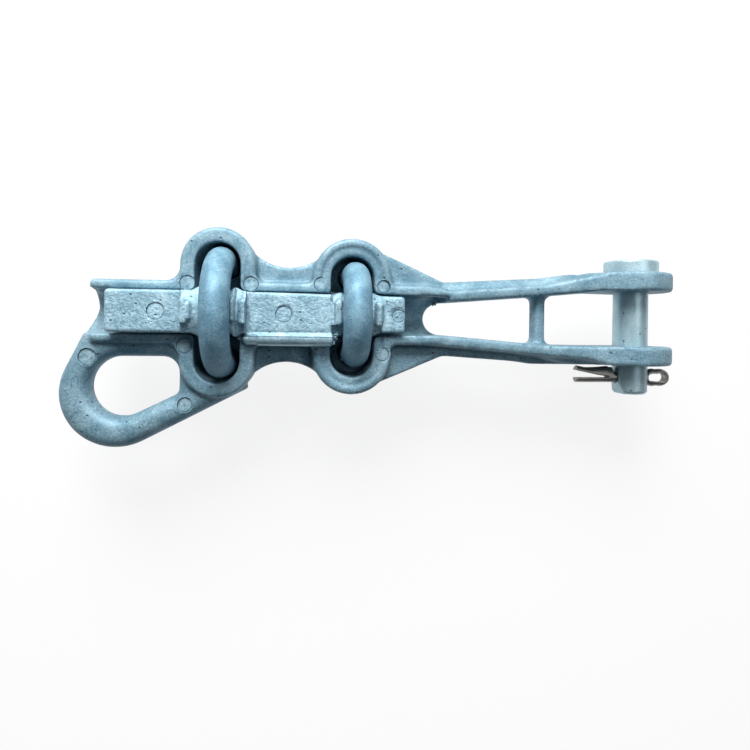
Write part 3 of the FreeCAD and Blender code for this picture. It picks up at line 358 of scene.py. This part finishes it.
def metal(name, dark, light, pit_and_shade, bright, metallic, rough, grain, cloud, pits, bump, polished_with_sheen=None):
    """Metal whose colour runs from dark to light; sizes in millimetres.

    pits is the size of a pit's cell and the share of cells that have one. The last
    argument is a place across the piece: the metal below it is smooth and shiny, and
    its colour is lifted towards the bright one, a painted sheen.
    """
    material = bpy.data.materials.new(name)
    material.use_nodes = True
    material.node_tree.nodes.clear()
    t = Tree(material.node_tree)
    shader = t.add("BsdfPrincipled")
    t.feed(t.add("OutputMaterial").inputs["Surface"], shader.outputs[0])
    shader.inputs["Metallic"].default_value = metallic
    texture = t.add("Group", node_tree=skin)
    texture.inputs["Grain Size"].default_value = grain
    texture.inputs["Cloud Size"].default_value = cloud
    texture.inputs["Pit Size"].default_value = pits[0]
    texture.inputs["Pit Share"].default_value = pits[1]
    # These masks give rubbed edges, partly painted highlight, and corners, for painted shade.
    wear = t.add("Group", node_tree=wear_and_light_masks)
    wear.inputs["Break-up Size"].default_value = 2.5 * grain

    patches = t.math("MULTIPLY", texture.outputs["Clouds"], CLOUD_PART)
    tone = t.math("MULTIPLY_ADD", texture.outputs["Grain"], GRAIN_PART, patches)
    colour = t.mix(t.between(tone, TONE_FROM, TONE_TO), (*dark, 1), (*light, 1))
    # Corners are darkened towards the pit colour: painted shade. The pit colour also colours the
    # real pits below.
    colour = t.mix(t.math("MULTIPLY", wear.outputs["Corner Shade"], CORNER_SHADE), colour, (*pit_and_shade, 1))
    colour = t.mix(texture.outputs["Pits"], colour, (*pit_and_shade, 1))
    # Rubbed edges are partly real wear and partly a painted highlight, and the flecks are painted
    # glints; both lift the colour towards the bright one and are also made smoother.
    rubbed_and_glinting = t.math("MULTIPLY", wear.outputs["Rub And Glint"], RUB_AND_GLINT_SHARE)
    shine = t.math("MAXIMUM", rubbed_and_glinting, texture.outputs["Glint Flecks"])
    colour = t.mix(t.math("MULTIPLY", shine, BRIGHT_SHARE), colour, (*bright, 1))
    matt = t.between(texture.outputs["Grain"], GRAIN_LOW, GRAIN_HIGH,
                     rough - SMOOTHER, rough + ROUGHER)
    matt = t.math("MULTIPLY_ADD", shine, -SHINE_SMOOTHER, matt)
    height = texture.outputs["Height"]

    if polished_with_sheen is not None:
        across = t.add("SeparateXYZ")
        t.feed(across.inputs[0], t.add("TexCoord").outputs["Object"])
        low, high = (polished_with_sheen - POLISH_EDGE) * MM, (polished_with_sheen + POLISH_EDGE) * MM
        rolled_with_sheen = t.between(across.outputs["Y"], low, high, 1.0, 0.0)
        # Below the polished line the colour is lifted towards the bright one: a painted sheen; the
        # metallic, roughness and bump changes are real polish.
        colour = t.mix(t.math("MULTIPLY", rolled_with_sheen, PAINTED_SHEEN_SHARE), colour, (*bright, 1))
        more = t.math("MULTIPLY_ADD", rolled_with_sheen, POLISH_METALLIC - metallic, metallic)
        t.feed(shader.inputs["Metallic"], more)
        matt = t.math("MULTIPLY_ADD", rolled_with_sheen, -POLISH_SMOOTHER, matt)
        flatter = t.math("MULTIPLY_ADD", rolled_with_sheen, -POLISH_FLATTER, 1.0)
        height = t.math("MULTIPLY", height, flatter)

    t.feed(shader.inputs["Base Color"], colour)
    t.feed(shader.inputs["Roughness"], matt)
    dents = t.add("Bump")
    dents.inputs["Strength"].default_value = 1.0
    dents.inputs["Distance"].default_value = bump * MM
    t.feed(dents.inputs["Height"], height)
    t.feed(shader.inputs["Normal"], dents.outputs["Normal"])
    return material


# %% The clamp's metals
cast_body = metal(
    "cast_body", dark=(0.09, 0.20, 0.27), light=(0.25, 0.39, 0.47), pit_and_shade=(0.04, 0.07, 0.09),
    bright=(0.52, 0.70, 0.77), metallic=0.34, rough=0.57, grain=0.8, cloud=14.0,
    pits=(3.0, 0.25), bump=0.18)
# The keeper's bead below the line is smooth and shiny, with a painted sheen in its colour.
cast_keeper = metal(
    "cast_keeper", dark=(0.16, 0.30, 0.38), light=(0.36, 0.54, 0.64), pit_and_shade=(0.08, 0.14, 0.18),
    bright=(0.62, 0.80, 0.88), metallic=0.35, rough=0.54, grain=1.1, cloud=9.0,
    pits=(2.5, 0.25), bump=0.42, polished_with_sheen=-10.2)
zinc_bolt = metal(
    "zinc_bolt", dark=(0.09, 0.21, 0.30), light=(0.21, 0.38, 0.49), pit_and_shade=(0.03, 0.06, 0.09),
    bright=(0.36, 0.56, 0.66), metallic=0.30, rough=0.58, grain=0.8, cloud=8.0,
    pits=(1.3, 0.32), bump=0.09)
zinc_nut = metal(
    "zinc_nut", dark=(0.18, 0.27, 0.32), light=(0.34, 0.45, 0.50), pit_and_shade=(0.07, 0.11, 0.13),
    bright=(0.55, 0.66, 0.70), metallic=0.55, rough=0.42, grain=0.6, cloud=7.0,
    pits=(2.2, 0.2), bump=0.05)
zinc_pin = metal(
    "zinc_pin", dark=(0.31, 0.46, 0.52), light=(0.50, 0.66, 0.72), pit_and_shade=(0.14, 0.20, 0.23),
    bright=(0.66, 0.80, 0.84), metallic=0.60, rough=0.40, grain=0.6, cloud=22.0,
    pits=(3.4, 0.2), bump=0.05)
split_wire = metal(
    "split_wire", dark=(0.22, 0.22, 0.21), light=(0.40, 0.38, 0.35), pit_and_shade=(0.10, 0.10, 0.09),
    bright=(0.56, 0.55, 0.52), metallic=0.70, rough=0.42, grain=0.3, cloud=5.0,
    pits=(2.0, 0.2), bump=0.02)
print("finishes:", [m.name for m in bpy.data.materials])

# %% [markdown]
# ## Soft cast edges
# No edge of a casting is sharp: the metal shrinks back from the corners of the mould
# and the mould itself is worn. Bevels would have to be cut into every edge of a very
# mixed shape, and they break where small edges meet. So the solid is melted instead:
# a copy is remeshed into even small squares, which a few rounds of smoothing then
# pull round at every edge by the same amount. The copy stands for the solid. Where
# it has too many triangles, the flattest ones are joined.

# %% A cast skin from a solid
MOST_TRIANGLES = 190000
SHARP_ANGLE = 38


def merged_copy(name, weld):
    """Mesh of a node, joined to one connected shape."""
    shape = bmesh.new()
    shape.from_mesh(nodes[name].data)
    bmesh.ops.remove_doubles(shape, verts=shape.verts, dist=weld * MM)
    return shape


def modified(shape, kind, **settings):
    """The shape after one modifier, which needs an object to carry it for a moment."""
    rough = bpy.data.meshes.new("carrier")
    shape.to_mesh(rough)
    shape.free()
    carrier = bpy.data.objects.new("carrier", rough)
    bpy.context.collection.objects.link(carrier)
    modifier = carrier.modifiers.new("change", kind)
    for name, value in settings.items():
        setattr(modifier, name, value)
    result = carrier.evaluated_get(bpy.context.evaluated_depsgraph_get())
    fine = bpy.data.meshes.new_from_object(result)
    bpy.data.objects.remove(carrier)
    bpy.data.meshes.remove(rough)
    shape = bmesh.new()
    shape.from_mesh(fine)
    bpy.data.meshes.remove(fine)
    return shape


def wear(shape, verts, rounds):
    """Smooths the given points a number of times."""
    for _ in range(rounds):
        bmesh.ops.smooth_vert(shape, verts=verts, factor=0.5,
                              use_axis_x=True, use_axis_y=True, use_axis_z=True)


def melted(shape, cell, rounds):
    """Even fine mesh of a shape with its sharp edges worn round; what overlaps is fused."""
    shape = modified(shape, "REMESH", mode="VOXEL", voxel_size=cell * MM)
    wear(shape, shape.verts, rounds)
    return shape


def stands_for(shape, name, body, finish):
    """Makes the shape a piece that replaces a node and rides on its body."""
    triangles = sum(len(f.verts) - 2 for f in shape.faces)
    if triangles > MOST_TRIANGLES:
        shape = modified(shape, "DECIMATE", ratio=MOST_TRIANGLES / triangles)
    mesh = bpy.data.meshes.new(name + "_skin")
    shape.to_mesh(mesh)
    shape.free()
    mesh.shade_smooth()
    mesh.set_sharp_from_angle(angle=math.radians(SHARP_ANGLE))
    piece = bpy.data.objects.new(name + "_skin", mesh)
    bpy.context.collection.objects.link(piece)
    mesh.materials.append(finish)
    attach(piece, body)
    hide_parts(name)
    print("%s: %d faces" % (piece.name, len(mesh.polygons)))


# %% [markdown]
# ## Marks of the ejector pins
# Round pins push the hot casting out of its mould, and each leaves a flat disc with
# a crisp edge: sunk on the high side, standing out where the surface falls away. The
# melted skin is too coarse for a crisp edge, so it's divided finer round each mark
# and then pressed level inside the circle, with a fine groove along its rim.

# %% Press a mark
MARK_REACH = 1.6
RIM_WIDE = 0.45
RIM_DEEP = 0.28


def press_mark(shape, x, y, radius, level):
    """Levels a disc at a height; all sizes in millimetres."""
    spot = Vector((x * MM, y * MM))

    def in_reach(place, distance):
        return (abs(place.z - level * MM) < MARK_REACH * MM
                and (place.xy - spot).length < distance * MM)

    near = [f for f in shape.faces
            if f.normal.z > 0.3 and in_reach(f.calc_center_median(), radius + 1.0)]
    edges = dict.fromkeys(e for f in near for e in f.edges)
    bmesh.ops.subdivide_edges(shape, edges=list(edges), cuts=3, use_grid_fill=True)
    for vert in shape.verts:
        if vert.normal.z > 0.1 and in_reach(vert.co, radius):
            vert.co.z = level * MM
            if (vert.co.xy - spot).length > (radius - RIM_WIDE) * MM:
                vert.co.z -= RIM_DEEP * MM


# %% [markdown]
# ## Lumps, ribs and burrs
# Where the two halves of the mould meet, a little metal squeezes out and breaks off
# ragged, and the keeper has small round ribs beside the U-bolts. Both start as a ball
# of triangles: noise makes a ragged lump of it, and pulling its halves apart makes a
# rib with round ends. The melt fuses whatever is added before it; the burrs come
# after it and stay sharp.


# %% Lumps and ribs
def add_lump(shape, place, size, ragged=0.0, seed=0.0):
    """Adds a ball stretched to the given half sizes at a place, in millimetres."""
    made = bmesh.ops.create_icosphere(shape, subdivisions=3, radius=1.0)
    for vert in made["verts"]:
        coarse = noise.noise(vert.co * 1.3 + Vector((seed, 0, 0)))
        fine = noise.noise(vert.co * 3.1 + Vector((0, seed, 0)))
        vert.co *= 1.0 + ragged * (coarse + 0.5 * fine)
        vert.co = Vector([c * s * MM for c, s in zip(vert.co, size)]) + Vector(place) * MM


def add_rib(shape, x, low_y, high_y, top, wide, high):
    """Adds a rib with round ends across the keeper, in millimetres."""
    made = bmesh.ops.create_icosphere(shape, subdivisions=3, radius=1.0)
    reach = (high_y - low_y) / 2 - wide
    for vert in made["verts"]:
        across = (low_y + high_y) / 2 + vert.co.y * wide + math.copysign(reach, vert.co.y)
        vert.co = Vector((x + vert.co.x * wide, across, top - high + vert.co.z * high)) * MM


def add_block(shape, low, high):
    """Adds a block between two corners, in millimetres."""
    size = Matrix.Diagonal([(b - a) * MM for a, b in zip(low, high)] + [1.0])
    middle = Matrix.Translation([(a + b) / 2 * MM for a, b in zip(low, high)])
    bmesh.ops.create_cube(shape, size=1.0, matrix=middle @ size)


def step(value, low, high):
    """Rises smoothly from 0 at low to 1 at high."""
    t = min(1.0, max(0.0, (value - low) / (high - low)))
    return t * t * (3.0 - 2.0 * t)


# %% [markdown]
# ## The casting
# The corners where the channel's walls end at the wells are rounder than the rest.
# Each is a quarter circle in plan, so a point outside it is pulled in to the circle.
# The arms are fuller than the solid's towards their ears, the upper one has a sloped
# lip along its outside, and both are worn rounder than the rest of the casting.

# %% Round the walls' corners
CHANNEL_HALF = 9.5
SEAT = 1.0


def round_corner(shape, x, y, wall_x, wall_y, radius):
    """Rounds a corner of the walls in plan above the seat; the wall lies that way."""
    middle = Vector((x + wall_x * radius, y + wall_y * radius)) * MM
    for vert in shape.verts:
        out = vert.co.xy - middle
        outside = out.x * wall_x < 0 and out.y * wall_y < 0
        if vert.co.z > SEAT * MM and outside and radius * MM < out.length < 2 * radius * MM:
            vert.co.xy = middle + out.normalized() * radius * MM


# %% Fill out the arms
ARMS_FROM, ARMS_TO = -95.0, -12.0
EAR_FACE = 21.9
FLANGE_HALF = 6.0
LIP_FROM, LIP_TO = -93.0, -45.0
LIP_PLACE = 13.8
LIP_SPREAD = 0.067
LIP_SLOPE = 0.75
# how much, from where along the arm, and where it is full
UPPER_SWELL = (1.6, -50.0, -27.0)
LOWER_SWELL = (2.8, -64.0, -25.0)
SWOLLEN_FROM, SWOLLEN_FULL = 15.0, 18.0


def fill_arms(shape):
    """Slopes the upper arm's lip and swells both arms, no further than the ears' faces."""
    for vert in shape.verts:
        x, y, z = vert.co / MM
        out = abs(y)
        if ARMS_FROM < x < ARMS_TO and abs(z) < FLANGE_HALF:
            lip = LIP_PLACE + LIP_SPREAD * (x - LIP_FROM)
            if y > lip and z > 0 and x < LIP_TO:
                vert.co.z -= LIP_SLOPE * (y - lip) * MM
            most, start, full = UPPER_SWELL if y > 0 else LOWER_SWELL
            swell = most * step(x, start, full) * step(out, SWOLLEN_FROM, SWOLLEN_FULL)
            vert.co.y = math.copysign(max(out, min(EAR_FACE, out + swell)), y) * MM


def verts_between(shape, low, high):
    """The points between two places along the clamp, in millimetres."""
    return [v for v in shape.verts if low * MM < v.co.x < high * MM]


# %% The casting
# where the wall ends, the side it lies on, and the radius of its corner
WELL_CORNERS = ((-205.0, -1, 2.6), (-185.8, 1, 3.2), (-146.4, -1, 1.6), (-127.2, 1, 3.0))
CROTCH = (-106.0, -88.0)
ARM_BARS = (-92.0, -20.0)
# place, radius and level of each mark
BODY_MARKS = (
    (-208.0, 12.3, 3.4, 9.5), (-181.2, 12.4, 3.4, 9.5), (-150.9, 13.0, 3.2, 9.5),
    (-122.9, 12.6, 3.0, 8.9), (-209.0, -14.6, 3.4, 9.4), (-123.2, -17.7, 3.1, 9.5),
    (-249.6, -19.9, 3.8, 6.2), (-208.9, -40.4, 3.3, 6.2))

shape = melted(merged_copy("body", weld=0.02), cell=0.66, rounds=3)
for x, wall_x, radius in WELL_CORNERS:
    for side in (-1, 1):
        round_corner(shape, x, side * CHANNEL_HALF, wall_x, side, radius)
wear(shape, shape.verts, rounds=2)
fill_arms(shape)
wear(shape, verts_between(shape, *CROTCH), rounds=8)
wear(shape, verts_between(shape, *ARM_BARS), rounds=8)
for mark in BODY_MARKS:
    press_mark(shape, *mark)
add_lump(shape, (-96.9, 6.0, -4.0), (1.1, 0.9, 1.4), ragged=0.7, seed=3.0)
stands_for(shape, "body", "casting", cast_body)

# %% [markdown]
# ## The keeper
# Beside each U-bolt the keeper has a rib, and swells a little into the wells. Its
# middle block slopes down to the tail station, and the bead on its lip has round ends
# and a step. The ribs and ends are added before the melt, the swelling and the slope
# are moves of the melted points.

# %% The keeper's places
TAIL_STATION, CLEVIS_STATION = -194.2, -135.3
ROD = 12.2
KEEPER_TOP = 16.0
BLOCK_HALF = 8.7
BLOCK_LOW = 8.0
RIB_HIGH = 3.0
WALL_TOP = 10.0
BEAD_GAP = 0.4
BEAD = 3.3
bead_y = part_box("keeper")[0][1] / MM + BEAD
bead_z = WALL_TOP + BEAD_GAP + BEAD
tail_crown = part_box("tail_u_bolt")[1][2] / MM - ROD
clevis_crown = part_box("clevis_u_bolt")[1][2] / MM - ROD


# %% Move the keeper's points
SLOPE_BLOCK = (-187.0, -180.0)
SLOPE_FROM, SLOPE_TO = -186.2, -180.6
SLOPE_LOW, SLOPE_HIGH = 12.0, 15.0
SLOPE_DROP = 2.2
# the station, how much, and how far off it the swelling is full and ends
SWELLINGS = ((TAIL_STATION, 1.4, 7.2, 10.8), (CLEVIS_STATION, 1.1, 7.0, 10.5))
SWELL_FROM = 5.5
SWELL_INNER, SWELL_OUTER = 4.0, 8.5
SWELL_SINK = 0.3
NOTCH_FROM, NOTCH_TO = -146.2, -144.6
NOTCH_HALF = 6.0
NOTCH_BELOW = 0.4
STEP_REACH = 1.5
STEP_TO = -177.8
STEP_DOWN, STEP_IN = 0.5, 0.4


def swelling(x, y):
    """How far the keeper swells into the wells at a place, all in millimetres."""
    for station, most, near, far in SWELLINGS:
        off = abs(x - station)
        if SWELL_FROM < off < far and abs(y) > SWELL_INNER:
            along = most * step(off, SWELL_FROM, near) * (1.0 - step(off, near, far))
            return along * step(abs(y), SWELL_INNER, SWELL_OUTER)
    return 0.0


def move_keeper(shape):
    """Slopes, swells, notches and steps the melted keeper."""
    for vert in shape.verts:
        x, y, z = vert.co / MM
        if SLOPE_BLOCK[0] < x < SLOPE_BLOCK[1] and z > SLOPE_LOW and y > bead_y:
            slope = 1.0 - step(x, SLOPE_FROM, SLOPE_TO)
            vert.co.z -= SLOPE_DROP * slope * step(z, SLOPE_LOW, SLOPE_HIGH) * MM
        swell = swelling(x, y)
        vert.co.y += math.copysign(swell, y) * MM
        vert.co.z -= SWELL_SINK * swell * MM
        if NOTCH_FROM < x < NOTCH_TO and abs(y) < NOTCH_HALF and z > clevis_crown - 1.0:
            vert.co.z = min(vert.co.z, (clevis_crown - NOTCH_BELOW) * MM)
        if y < bead_y + STEP_REACH and x < STEP_TO:
            vert.co.z -= STEP_DOWN * MM
            vert.co.y += STEP_IN * MM


# %% The keeper
BLOCKS = ((-212.0, -207.4), (-186.0, -180.0))
# place, the two ends across, the top, and half the width of each rib
RIBS = (
    (-205.8, -4.4, 4.6, tail_crown + 1.2, 1.9), (-187.9, -4.6, 6.0, tail_crown + 1.0, 1.5),
    (-142.9, -5.4, 6.4, clevis_crown + 1.2, 1.7), (-125.4, -4.2, 5.6, clevis_crown + 1.7, 1.8))
BEAD_ENDS = ((-182.6, 1.6), (-146.3, 1.0))
SUNK = 0.1
# place, radius and level of each mark
KEEPER_MARKS = (
    (-219.6, -0.1, 3.7, 15.5), (-166.7, -0.6, 3.6, 15.5), (-116.7, -0.5, 3.0, 13.2))
# place, half sizes and seed of each burr
BURRS = (
    ((-186.2, -9.3, 11.6), (1.4, 1.2, 1.2), 1.0), ((-185.4, -10.9, 10.9), (1.2, 0.9, 1.4), 5.0),
    ((-144.6, -10.4, 11.4), (1.1, 1.3, 1.2), 8.0), ((-143.9, -9.1, 11.9), (1.2, 0.8, 1.0), 11.0),
    ((-145.2, -12.6, 11.4), (0.7, 1.0, 1.3), 14.0))

shape = merged_copy("keeper", weld=0.02)
for start, end in BLOCKS:
    add_block(shape, (start, -BLOCK_HALF, BLOCK_LOW), (end, BLOCK_HALF, KEEPER_TOP - SUNK))
for x, low_y, high_y, top, wide in RIBS:
    add_rib(shape, x, low_y, high_y, top, wide, RIB_HIGH)
for x, half_long in BEAD_ENDS:
    add_lump(shape, (x, bead_y, bead_z), (half_long, BEAD - SUNK, BEAD - SUNK))
shape = melted(shape, cell=0.36, rounds=3)
move_keeper(shape)
wear(shape, shape.verts, rounds=1)
for mark in KEEPER_MARKS:
    press_mark(shape, *mark)
for place, size, seed in BURRS:
    add_lump(shape, place, size, ragged=0.6, seed=seed)
stands_for(shape, "keeper", "keeper", cast_keeper)

# %% [markdown]
# ## Threads
# The ends of the U-bolts carry a coarse metric thread, which shows below the nuts.
# A thread could be spun as a helix, but its two ends are hard to close. A column
# with many rings is simpler: each point moves in or out by where it lies on the
# helix. The bar above is a copy of the solid, cut off inside the nut.

# %% Threaded ends
PITCH = 1.75
CREST = 5.95
DEPTH = 0.95
CUT = -27.0
OVERLAP = 0.4
SEGMENTS = 28
RING_STEP = 0.25
FLANK_STEEP = 1.35
CREST_FLAT = 0.15


def add_thread(shape, x, y, low):
    """Adds a threaded column from the cut down to a height, all in millimetres."""
    long = CUT + OVERLAP - low
    column = bmesh.new()
    bmesh.ops.create_cone(column, cap_ends=True, segments=SEGMENTS, radius1=CREST * MM,
                          radius2=CREST * MM, depth=long * MM)
    upright = [e for e in column.edges
               if abs(e.verts[0].co.z - e.verts[1].co.z) > long / 2 * MM]
    bmesh.ops.subdivide_edges(column, edges=upright, cuts=round(long / RING_STEP))
    middle = Vector((x, y, low + long / 2)) * MM
    for vert in column.verts:
        height = vert.co.z / MM
        turn = (height / PITCH - math.atan2(vert.co.y, vert.co.x) / math.tau) % 1.0
        valley = FLANK_STEEP * (1.0 - abs(2.0 * turn - 1.0)) - CREST_FLAT
        valley = min(1.0, max(0.0, valley))
        from_end = height + long / 2
        radius = min(CREST - DEPTH * valley, CREST - DEPTH + from_end)
        vert.co.xy = vert.co.xy.normalized() * radius * MM
        vert.co += middle
    mesh = bpy.data.meshes.new("thread")
    column.to_mesh(mesh)
    column.free()
    shape.from_mesh(mesh)
    bpy.data.meshes.remove(mesh)


def threaded_bolt(name):
    """Makes a threaded skin for a U-bolt, whose body has the same name."""
    low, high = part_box(name)
    shape = merged_copy(name, weld=0.02)
    everything = shape.verts[:] + shape.edges[:] + shape.faces[:]
    bmesh.ops.bisect_plane(shape, geom=everything, dist=1e-7, plane_co=(0, 0, CUT * MM),
                           plane_no=(0, 0, 1), clear_inner=True)
    bmesh.ops.holes_fill(shape, edges=[e for e in shape.edges if e.is_boundary], sides=0)
    radius = (high[0] - low[0]) / 2
    for y in (low[1] + radius, high[1] - radius):
        add_thread(shape, (low[0] + high[0]) / 2 / MM, y / MM, low[2] / MM)
    stands_for(shape, name, name, zinc_bolt)


for name in ("tail_u_bolt", "clevis_u_bolt"):
    threaded_bolt(name)

# %% [markdown]
# ## Clevis pin and split pin
# The forged pin is melted like the castings, so that its head gets a soft rim. The
# head is a little deeper than the solid's. The eye of the split pin is a flat ring
# that is open right up to the pin: its two sides are pushed apart from their middle.
# Its upper leg is seen on its flat, so it is broadened towards the ear.

# %% Clevis pin
HEAD_SEAT = 23.4
HEAD_DEEP = 3.0
HEAD_MORE = 1.1

shape = melted(merged_copy("clevis_pin", weld=0.01), cell=0.30, rounds=4)
for vert in shape.verts:
    vert.co.y += HEAD_MORE * MM * step(vert.co.y / MM, HEAD_SEAT, HEAD_SEAT + HEAD_DEEP)
stands_for(shape, "clevis_pin", "clevis_pin", zinc_pin)

# %% Split pin
LONG_EDGE = 1.2
EYE_FROM, EYE_WIDEST, EYE_TO = 8.0, 9.4, 15.5
EYE_APART = 1.05
FLAT_FROM, FLAT_FULL = 11.0, 13.5
EYE_FLATTER = 0.12
LEG_FROM, LEG_FULL = 8.3, 9.5
LEG_GAP = 0.1
LEG_BEND = 12.0
LEG_RISE = 0.254
LEG_THICK = 2.5
LEG_LIMIT = -22.75

shape = merged_copy("cotter_pin", weld=0.01)
eye_ends = [v.co.y / MM for v in shape.verts if v.co.x > 12.0 * MM]
line = (min(eye_ends) + max(eye_ends)) / 2
long_edges = [e for e in shape.edges if e.calc_length() > LONG_EDGE * MM]
bmesh.ops.subdivide_edges(shape, edges=long_edges, cuts=3)
shape = melted(shape, cell=0.18, rounds=2)
for vert in shape.verts:
    x, y = vert.co.xy / MM
    if x > EYE_FROM:
        apart = EYE_APART * step(x, EYE_FROM, EYE_WIDEST) * (1.0 - step(x, EYE_WIDEST, EYE_TO))
        flat = 1.0 - EYE_FLATTER * step(x, FLAT_FROM, FLAT_FULL)
        vert.co.y = (line + (y - line) * flat + math.copysign(apart, y - line)) * MM
    elif -x > LEG_FROM and y > line:
        inner = line + LEG_GAP + LEG_RISE * max(0.0, -x - LEG_BEND)
        if y > inner:
            wider = max(1.0, (LEG_LIMIT - inner) / LEG_THICK) - 1.0
            vert.co.y += (y - inner) * wider * step(-x, LEG_FROM, LEG_FULL) * MM
stands_for(shape, "cotter_pin", "clevis_pin", split_wire)

# %% [markdown]
# ## Finishes on the solids
# A node that has the right shape already keeps it and only gets a finish.

# %% Dress the CAD nodes
for name, node in nodes.items():
    if name.endswith(("washer", "nut")):
        node.data.materials.clear()
        node.data.materials.append(zinc_nut)
print("washers and nuts dressed")
